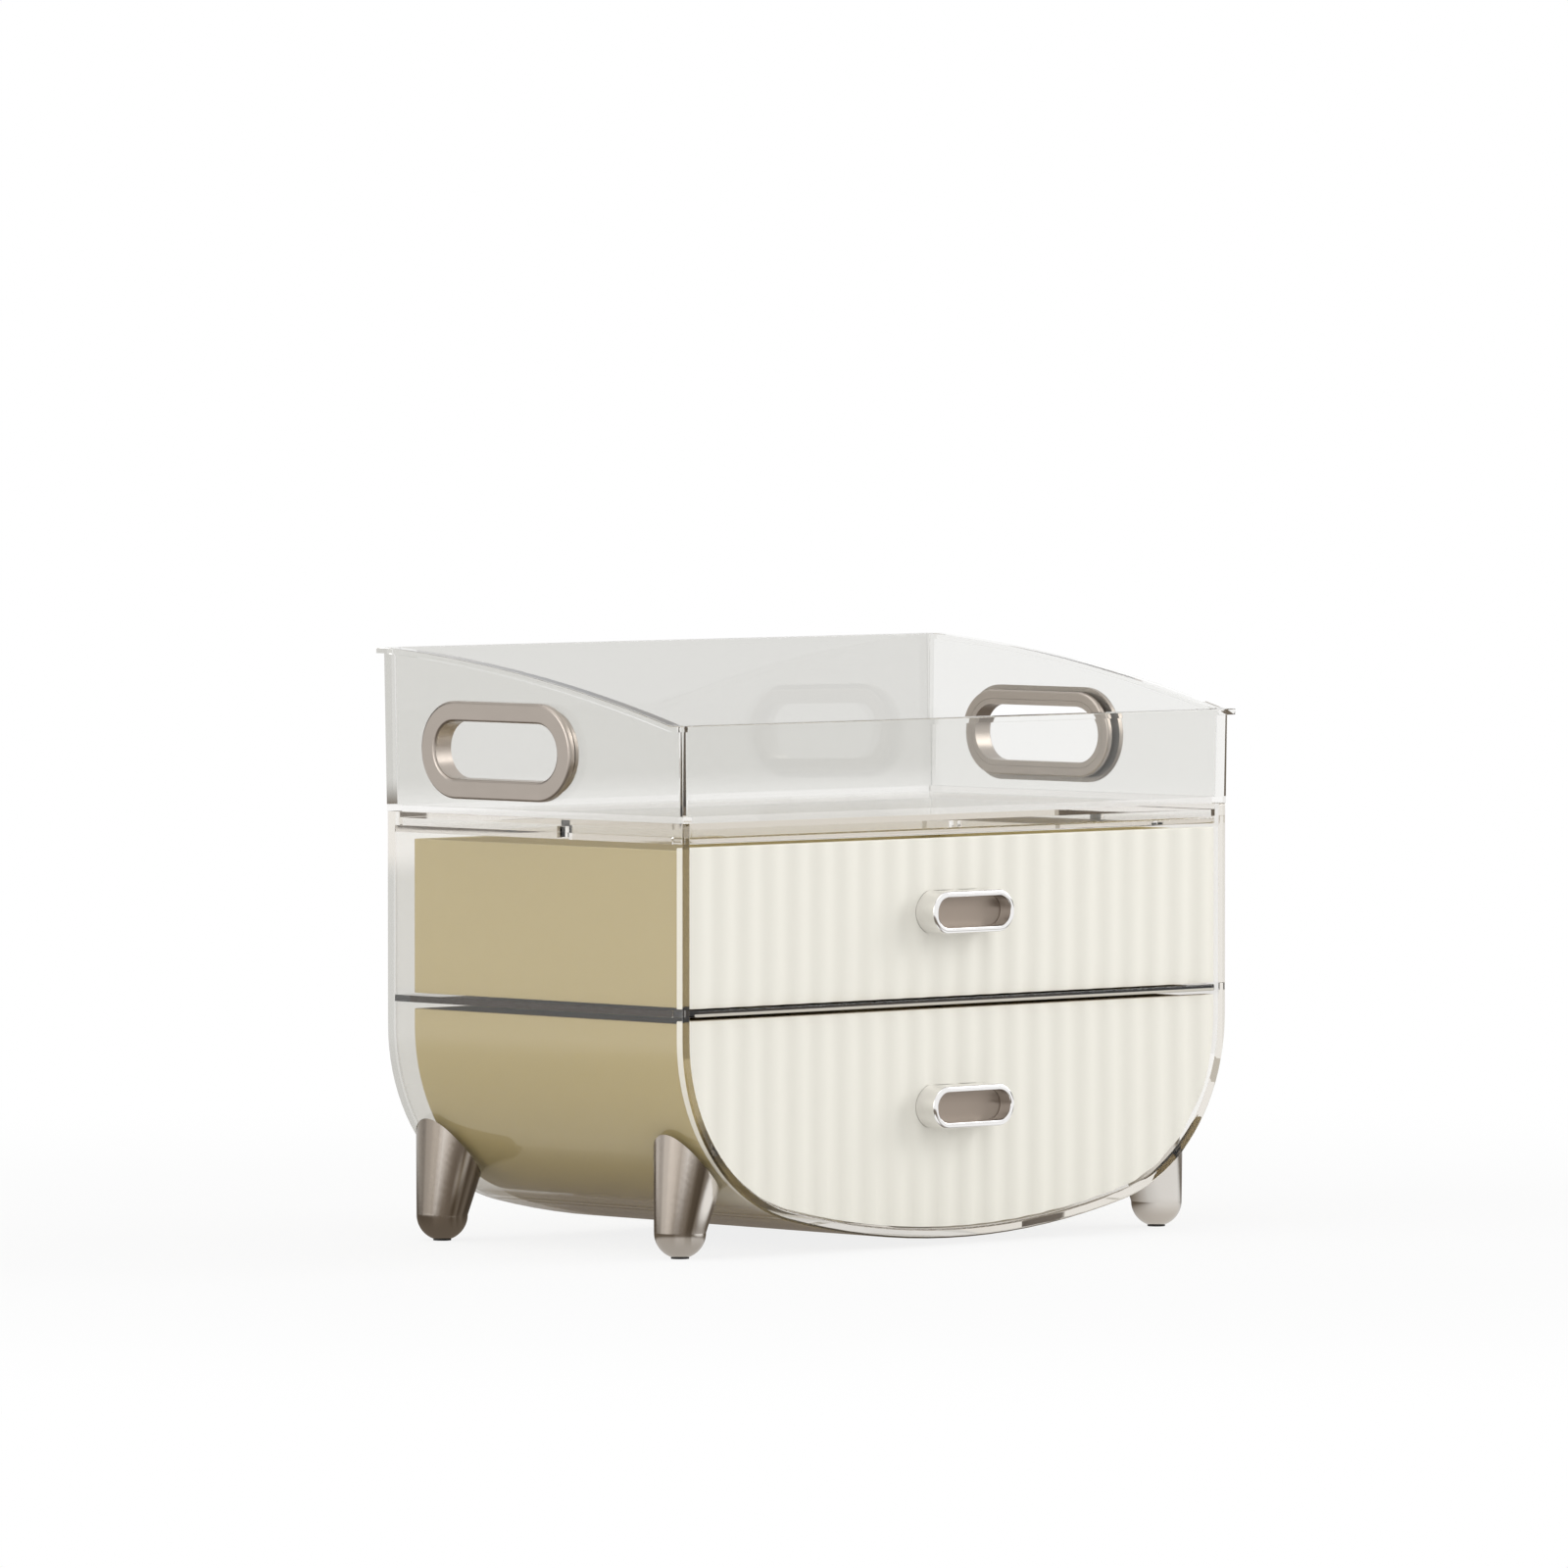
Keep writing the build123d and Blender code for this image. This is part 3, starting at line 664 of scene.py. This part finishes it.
def clear_plastic(name, looks, tints, escapes, density, clips=False, edge=None):
    """Clear polished plastic; light caught in a wall leaves it with a tint.

    The tints of what passes are for below and above the tray's floor. Those of what leaves are
    too, with a third one for the upright inner faces. The back walls and the outer face at the
    right get painted shade, the clips may be drawn near black as painted shade, and a plate whose
    two corners are given gets its edges drawn with a painted highlight line and painted shade.
    """
    material, finish = new_material(name)
    waves = finish.noise(*WAVES)
    smudges = finish.noise(*SMUDGES)
    low_tint, tint = tints
    low_escape, escape, inner_escape = escapes
    x, y, z = finish.coordinates()
    raised = z > TRAY_FLOOR
    # painted shade on the back walls, outside a band behind the deck
    beside_band = (z - BAND_MIDDLE).size().rise(BAND_HALF, BAND_HALF + BAND_FADE)
    back = (y > BACK_WALL) * beside_band
    right = x > OUTER_FACE
    inner = (x.size() > INNER_FACE) * (x.size() < OUTER_FACE)
    # the outer face at the right gets painted shade
    kept = finish.mix(right, opaque(low_tint), opaque(looks.right_edge_shade))
    kept = finish.mix(raised, kept, opaque(tint))
    kept = finish.mix(back, kept, opaque(looks.back_shade_tint))
    # the clips get painted shade, near black
    clip = clip_place(x, y, z) if clips else None
    if clip:
        kept = finish.mix(clip, kept, opaque(looks.clip))
    glass = finish.node(
        "ShaderNodeBsdfPrincipled",
        None,
        {
            "Base Color": kept,
            "Roughness": smudges * SMUDGE_ROUGHNESS + (looks.clear_roughness - SMUDGE_ROUGHNESS / 2),
            "IOR": CLEAR_IOR,
            "Transmission Weight": 1.0,
            "Normal": finish.bump(waves, *WAVE_BUMP),
        },
    )
    above = raised * (1.0 - right * (y > LINE_END))
    way_out = finish.blend(above, finish.way_out(low_escape), finish.way_out(escape))
    way_out = finish.blend(inner, way_out, finish.way_out(inner_escape))
    way_out = finish.blend(back, way_out, finish.way_out(looks.back_shade_tint))
    within = finish.node("ShaderNodeNewGeometry", None, None, "Backfacing")
    way_out = finish.blend(within, finish.way_out(looks.open_tint), way_out)
    if clip:
        way_out = finish.blend(clip, way_out, finish.way_out(looks.clip))
    face_tint = tuple(sqrt(value) for value in tint)
    pane = finish.node("ShaderNodeBsdfTransparent", None, {"Color": opaque(face_tint)})
    guided = finish.ray("Glossy Depth") > looks.guided_steps - 0.5
    walls = finish.blend(guided, glass, way_out)
    if edge:
        walls = plate_edges(finish, walls, looks, *edge)
    lit = finish.blend(finish.ray("Is Diffuse Ray"), walls, pane)
    both = finish.blend(finish.ray("Is Shadow Ray"), lit, pane)
    smoke = finish.node(
        "ShaderNodeVolumeAbsorption",
        None,
        {"Color": opaque(looks.clear_depth), "Density": density},
    )
    finish.surface(both, smoke)
    return material


def moulded_plastic(name, colour, roughness, grain):
    """Satin opaque plastic with a fine even grain and faint flow marks."""
    material, finish = new_material(name)
    flow = finish.noise(*FLOW_MARKS)
    speckle = finish.noise(grain)
    shade = tuple(value * FLOW_SHADE for value in colour)
    tone = finish.mix(flow, opaque(colour), opaque(shade))
    plastic = finish.node(
        "ShaderNodeBsdfPrincipled",
        None,
        {
            "Base Color": tone,
            "Roughness": roughness - FLOW_ROUGHNESS / 2 + flow * FLOW_ROUGHNESS,
            "IOR": MOULDED_IOR,
            "Normal": finish.bump(speckle, *SPECKLE_BUMP),
        },
    )
    finish.surface(plastic)
    return material


def plated_metal(name, colour, roughness, grain, stretch=(1.0, 1.0, 1.0)):
    """Plated metal with a fine grain that may be stretched along an axis."""
    material, finish = new_material(name)
    lines = finish.noise(grain, stretch=stretch)
    shade = tuple(value * METAL_SHADE for value in colour)
    tone = finish.mix(finish.noise(*SMEARS), opaque(colour), opaque(shade))
    metal = finish.node(
        "ShaderNodeBsdfPrincipled",
        None,
        {
            "Base Color": tone,
            "Metallic": 1.0,
            "Roughness": roughness * (1.0 - LINE_ROUGHNESS / 2) + lines * roughness * LINE_ROUGHNESS,
            "Normal": finish.bump(lines, *LINE_BUMP),
        },
    )
    finish.surface(metal)
    return material


def foot_metal(name, metals, low, high, side, painted_streaks):
    """Polished nickel of a foot between two corners, with painted reflections of the studio as
    upright stripes along its axis and a painted dark reflection on its tip.
    """
    material, finish = new_material(name)
    x, y, z = finish.coordinates()
    outer = max(abs(low.x), abs(high.x)) - FOOT_RADIUS
    grown = ((z - FOOT_RADIUS) * FOOT_SPREAD).at_least(0.0)
    from_axis = x - side * outer + grown * (side * FOOT_LEAN)
    from_middle = y - (low.y + high.y) / 2
    across = from_axis * cos(metals.foot_turn) - from_middle * sin(metals.foot_turn)
    # place across the foot as the camera sees it, where the painted reflection stripes lie
    place = across / (grown + FOOT_RADIUS) * 0.5 + 0.5
    # painted dark reflection on the tip, fading out between the heights of FOOT_TIP_TOP
    tip = 1.0 - z.rise(*FOOT_TIP_TOP)
    tone = finish.mix(tip, finish.ramp(place, painted_streaks), opaque(metals.foot_tip_reflection))
    tone = finish.mix(finish.noise(*SMEARS) * FOOT_SMEARS, tone, opaque(metals.foot_dark))
    metal = finish.node(
        "ShaderNodeBsdfPrincipled",
        None,
        {
            "Base Color": tone,
            "Metallic": 1.0,
            "Roughness": finish.noise(*FOOT_LINES) * FOOT_GRAIN + metals.foot_roughness,
        },
    )
    finish.surface(metal)
    return material


def pull_chrome(name, metals, low, high):
    """Chrome of the pull between two corners, with a satin floor inside its rim, painted darker
    grey-brown: partly its own satin finish, partly painted shade in the recess.
    """
    material, finish = new_material(name)
    x, y, z = finish.coordinates()
    smears = finish.noise(*SMEARS)
    radius = (high.z - low.z) / 2
    straight = (high.x - low.x) / 2 - radius
    aside = (x.size() - straight).at_least(0.0)
    above = z - (low.z + high.z) / 2
    within = aside * aside + above * above < (radius - PULL_RIM) ** 2
    # the recess floor, which gets the darker colour below as partly painted shade
    inside = within * (y > low.y + PULL_RECESS)
    dull = tuple(value * CHROME_SHADE for value in metals.chrome)
    bright = finish.mix(smears, opaque(metals.chrome), opaque(dull))
    metal = finish.node(
        "ShaderNodeBsdfPrincipled",
        None,
        {
            "Base Color": finish.mix(inside, bright, opaque(metals.recess)),
            "Metallic": 1.0,
            "Roughness": inside * RECESS_ROUGHNESS + smears * CHROME_SMEARS + CHROME_ROUGHNESS,
        },
    )
    finish.surface(metal)
    return material


def dress(node, material):
    """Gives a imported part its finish."""
    for slot in NODES[node].material_slots:
        slot.material = material


# Operators


class ORGANIZER_OT_shell(Operator):
    """Dress the clear shell and the two shelves in it"""

    bl_idname = "organizer.shell"
    bl_label = "Shell"

    def execute(self, context):
        looks = context.scene.organizer_plastics
        density = looks.clear_density
        tints = (looks.clear_tint,) * 2
        escapes = (looks.light_escape, looks.light_escape, looks.inner_escape)
        shell = clear_plastic("shell_clear_look", looks, tints, escapes, density)
        dress("outer_shell", shell)
        tints = (looks.deck_tint,) * 2
        deck = clear_plastic("deck_clear_look", looks, tints, (looks.deck_tint,) * 3, density)
        dress("top_deck", deck)
        # the divider's dark brown tint and dense absorption are painted shade between the drawers
        tints = (looks.divider_shade_tint,) * 2
        escapes = (looks.dark_escape,) * 3
        density = looks.divider_density
        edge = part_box("divider_shelf")
        divider = clear_plastic("divider_clear_look", looks, tints, escapes, density, edge=edge)
        dress("divider_shelf", divider)
        return {"FINISHED"}


class ORGANIZER_OT_tray(Operator):
    """Dress the clear tray"""

    bl_idname = "organizer.tray"
    bl_label = "Tray"

    def execute(self, context):
        looks = context.scene.organizer_plastics
        tints = (looks.deck_tint, looks.tray_tint)
        escapes = (looks.deck_tint, looks.dark_escape, looks.dark_escape)
        density = looks.clear_density
        tray = clear_plastic("tray_clear_look", looks, tints, escapes, density, clips=True)
        dress("top_tray", tray)
        return {"FINISHED"}


class ORGANIZER_OT_rings(Operator):
    """Dress the carrying rings"""

    bl_idname = "organizer.rings"
    bl_label = "Rings"

    def execute(self, context):
        colour = context.scene.organizer_metals.nickel
        along = (1.0, 0.08, 1.0)
        nickel = plated_metal("satin_nickel_look", colour, roughness=0.34, grain=900.0, stretch=along)
        for side in SIDES:
            dress(f"handle_ring_{side}", nickel)
            dress(f"handle_bezel_{side}", nickel)
        return {"FINISHED"}


class ORGANIZER_OT_feet(Operator):
    """Dress the feet, their pads and their screws"""

    bl_idname = "organizer.feet"
    bl_label = "Feet"

    def execute(self, context):
        metals = context.scene.organizer_metals
        for end in ENDS:
            for side, sign in zip(SIDES, (-1, 1)):
                foot = f"foot_{end}_{side}"
                low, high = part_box(foot)
                painted_streaks = REFLECTION_STREAKS[f"{end}_{side}"]
                look = foot_metal(f"{foot}_look", metals, low, high, sign, painted_streaks)
                dress(foot, look)
        rubber = moulded_plastic("pad_rubber_look", PAD_BLACK, roughness=0.8, grain=1500.0)
        dress("foot_pads", rubber)
        dress("foot_screws", plated_metal("screw_zinc_look", SCREW_GREY, roughness=0.3, grain=900.0))
        return {"FINISHED"}


class ORGANIZER_OT_drawers(Operator):
    """Dress the drawer boxes and their fluted fronts"""

    bl_idname = "organizer.drawers"
    bl_label = "Drawers"

    def execute(self, context):
        looks = context.scene.organizer_plastics
        cream = moulded_plastic("cream_plastic_look", looks.cream, roughness=0.42, grain=1400.0)
        # the boxes' tan is partly painted shade
        tan = moulded_plastic("tan_plastic_look", looks.tan, roughness=0.45, grain=1400.0)
        for drawer in DRAWERS:
            dress(f"{drawer}_drawer_front", cream)
            dress(f"{drawer}_drawer_box", tan)
        return {"FINISHED"}


class ORGANIZER_OT_pulls(Operator):
    """Dress the pulls and their screws"""

    bl_idname = "organizer.pulls"
    bl_label = "Pulls"

    def execute(self, context):
        metals = context.scene.organizer_metals
        zinc = bpy.data.materials["screw_zinc_look"]
        for drawer in DRAWERS:
            pull = f"{drawer}_pull"
            dress(pull, pull_chrome(f"{pull}_look", metals, *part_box(pull)))
            dress(f"{drawer}_pull_screws", zinc)
        return {"FINISHED"}


def add_lamp(name, place, size, power):
    """Square soft lamp that faces the organizer's middle."""
    light = bpy.data.lights.new(name, "AREA")
    light.shape = "RECTANGLE"
    light.size = size
    light.size_y = size
    light.energy = power
    lamp = bpy.data.objects.new(name, light)
    bpy.context.scene.collection.objects.link(lamp)
    lamp.location = place
    lamp.rotation_euler = (Vector(LAMP_AIM) - Vector(place)).to_track_quat("-Z", "Y").to_euler()


class ORGANIZER_OT_stage(Operator):
    """Add the floor, the light and the camera"""

    bl_idname = "organizer.stage"
    bl_label = "Stage"

    def floor(self, looks):
        """Pale floor, white far off and, near the object, white but for a share of its shadow; near
        it the gloss sees a painted shadow with painted highlights, and rays through the shell see a
        painted shadow under it.
        """
        bpy.ops.object.select_all(action="DESELECT")
        bpy.ops.mesh.primitive_plane_add(size=FLOOR_SIZE, location=(0.0, 0.0, 0.0))
        floor = bpy.context.object
        floor.name = "floor"
        material, finish = new_material("floor_look")
        x, y, _ = finish.coordinates()
        length = {"operation": "LENGTH"}
        reach = finish.node("ShaderNodeVectorMath", length, {0: finish.place()}, "Value")
        far = reach.rise(looks.floor_near, looks.floor_far)
        glossy = finish.mirrored()
        passed = (finish.ray("Is Camera Ray") + finish.ray("Is Transmission Ray")).clamped()
        shade = (1.0 - far) * looks.floor_shade
        seen = (passed * (1.0 - shade) + glossy).clamped()
        matt = finish.matt((looks.floor_tone,) * 3)
        bright = opaque((1.0, 1.0, 1.0))
        gloss_far = reach.rise(looks.gloss_near, looks.gloss_far)
        dim = glossy * (1.0 - gloss_far)
        pads_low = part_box("foot_pads")[0]
        pad = (pads_low.x + PAD_RADIUS, pads_low.y + PAD_RADIUS, 0.0)
        for middle, size, white in (*FLOOR_CARDS, (pad, *FOOT_CARD)):
            inputs = {0: finish.place(), 1: middle}
            settings = {"operation": "DISTANCE"}
            offset = finish.node("ShaderNodeVectorMath", settings, inputs, "Value")
            dim = dim * (offset.rise(size, 2.0 * size) * white + (1.0 - white))
        # painted shadow on the floor for glossy rays, with painted highlights cut into it by the
        # cards
        shaded = finish.mix(dim, bright, opaque(looks.floor_gloss_shadow))
        outside = (x.size() - SHELL_HIGH.x).at_least(y - SHELL_HIGH.y - BACK_BAND)
        before = SHELL_LOW.y + FRONT_BAND - y
        covered = 1.0 - outside.at_least(before).rise(-COVER_FADE, 0.0)
        # painted shadow under the shell for rays that pass through it
        under = finish.ray("Is Transmission Ray") * covered
        shaded = finish.mix(under, shaded, opaque(looks.floor_under_shadow))
        white = finish.node("ShaderNodeEmission", None, {"Color": shaded})
        finish.surface(finish.blend(seen, matt, white))
        floor.data.materials.append(material)

    def sky(self, looks):
        """Even light from all round; the gloss also sees dark cards on both sides behind."""
        world = bpy.data.worlds.new("sky_look")
        bpy.context.scene.world = world
        finish = Finish(world)
        front = (-sin(looks.turn), -cos(looks.turn), 0.0)
        aside = (cos(looks.turn), -sin(looks.turn), 0.0)
        behind = (finish.toward(front) * -1.0).rise(*BEHIND)
        beside = finish.toward(aside).size().rise(*BESIDE)
        low = 1.0 - finish.toward((0.0, 0.0, 1.0)).rise(*ABOVE)
        cards = behind * beside * low * looks.cards
        glossy = finish.mirrored()
        seen = (finish.ray("Is Camera Ray") + finish.ray("Is Transmission Ray")).clamped()
        strength = looks.sky + (seen + glossy).clamped() * (1.0 - looks.sky) - glossy * cards
        inputs = {"Color": opaque((1.0, 1.0, 1.0)), "Strength": strength}
        light = finish.node("ShaderNodeBackground", None, inputs)
        finish.surface(light, kind="ShaderNodeOutputWorld")

    def camera(self, looks):
        """Long lens at the front left, a little above the organizer."""
        data = bpy.data.cameras.new("camera")
        data.lens = looks.lens
        data.sensor_width = SENSOR_WIDTH
        data.clip_end = CLIP_END
        camera = bpy.data.objects.new("camera", data)
        bpy.context.scene.collection.objects.link(camera)
        camera.rotation_euler = (pi / 2 - looks.tilt, 0.0, -looks.turn)
        turn = camera.rotation_euler.to_matrix()
        right = turn @ Vector((1.0, 0.0, 0.0))
        back = turn @ Vector((0.0, 0.0, 1.0))
        back.z = 0.0
        camera.location = right * looks.aside + back.normalized() * looks.distance
        camera.location.y += (SHELL_LOW.y + SHELL_HIGH.y) / 2
        camera.location.z = looks.height
        bpy.context.scene.camera = camera

    def execute(self, context):
        looks = context.scene.organizer_stage
        self.floor(looks)
        self.sky(looks)
        for name, place, size in LAMPS:
            add_lamp(f"{name}_lamp", place, size, getattr(looks, name))
        self.camera(looks)
        context.scene.view_settings.view_transform = "Standard"
        return {"FINISHED"}


class ORGANIZER_PT_panel(Panel):
    """Steps, sizes and colours of the organizer"""

    bl_label = "Organizer"
    bl_idname = "ORGANIZER_PT_panel"
    bl_space_type = "VIEW_3D"
    bl_region_type = "UI"
    bl_category = "Organizer"

    def draw(self, context):
        layout = self.layout
        for step in STEPS:
            layout.operator(step.bl_idname)
        for name, group in GROUPS.items():
            for value in group.__annotations__:
                layout.prop(getattr(context.scene, name), value)


STEPS = (
    ORGANIZER_OT_shell,
    ORGANIZER_OT_tray,
    ORGANIZER_OT_rings,
    ORGANIZER_OT_feet,
    ORGANIZER_OT_drawers,
    ORGANIZER_OT_pulls,
    ORGANIZER_OT_stage,
)
GROUPS = {
    "organizer_plastics": OrganizerPlastics,
    "organizer_metals": OrganizerMetals,
    "organizer_stage": OrganizerStage,
}


def register():
    for group in GROUPS.values():
        register_class(group)
    for step in STEPS:
        register_class(step)
    register_class(ORGANIZER_PT_panel)
    for name, group in GROUPS.items():
        setattr(bpy.types.Scene, name, PointerProperty(type=group))


def unregister():
    for name in GROUPS:
        delattr(bpy.types.Scene, name)
    unregister_class(ORGANIZER_PT_panel)
    for step in reversed(STEPS):
        unregister_class(step)
    for group in reversed(GROUPS.values()):
        unregister_class(group)


def main():
    """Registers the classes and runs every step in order."""
    register()
    for step in STEPS:
        group, name = step.bl_idname.split(".")
        getattr(getattr(bpy.ops, group), name)()


if __name__ == "__main__":
    main()
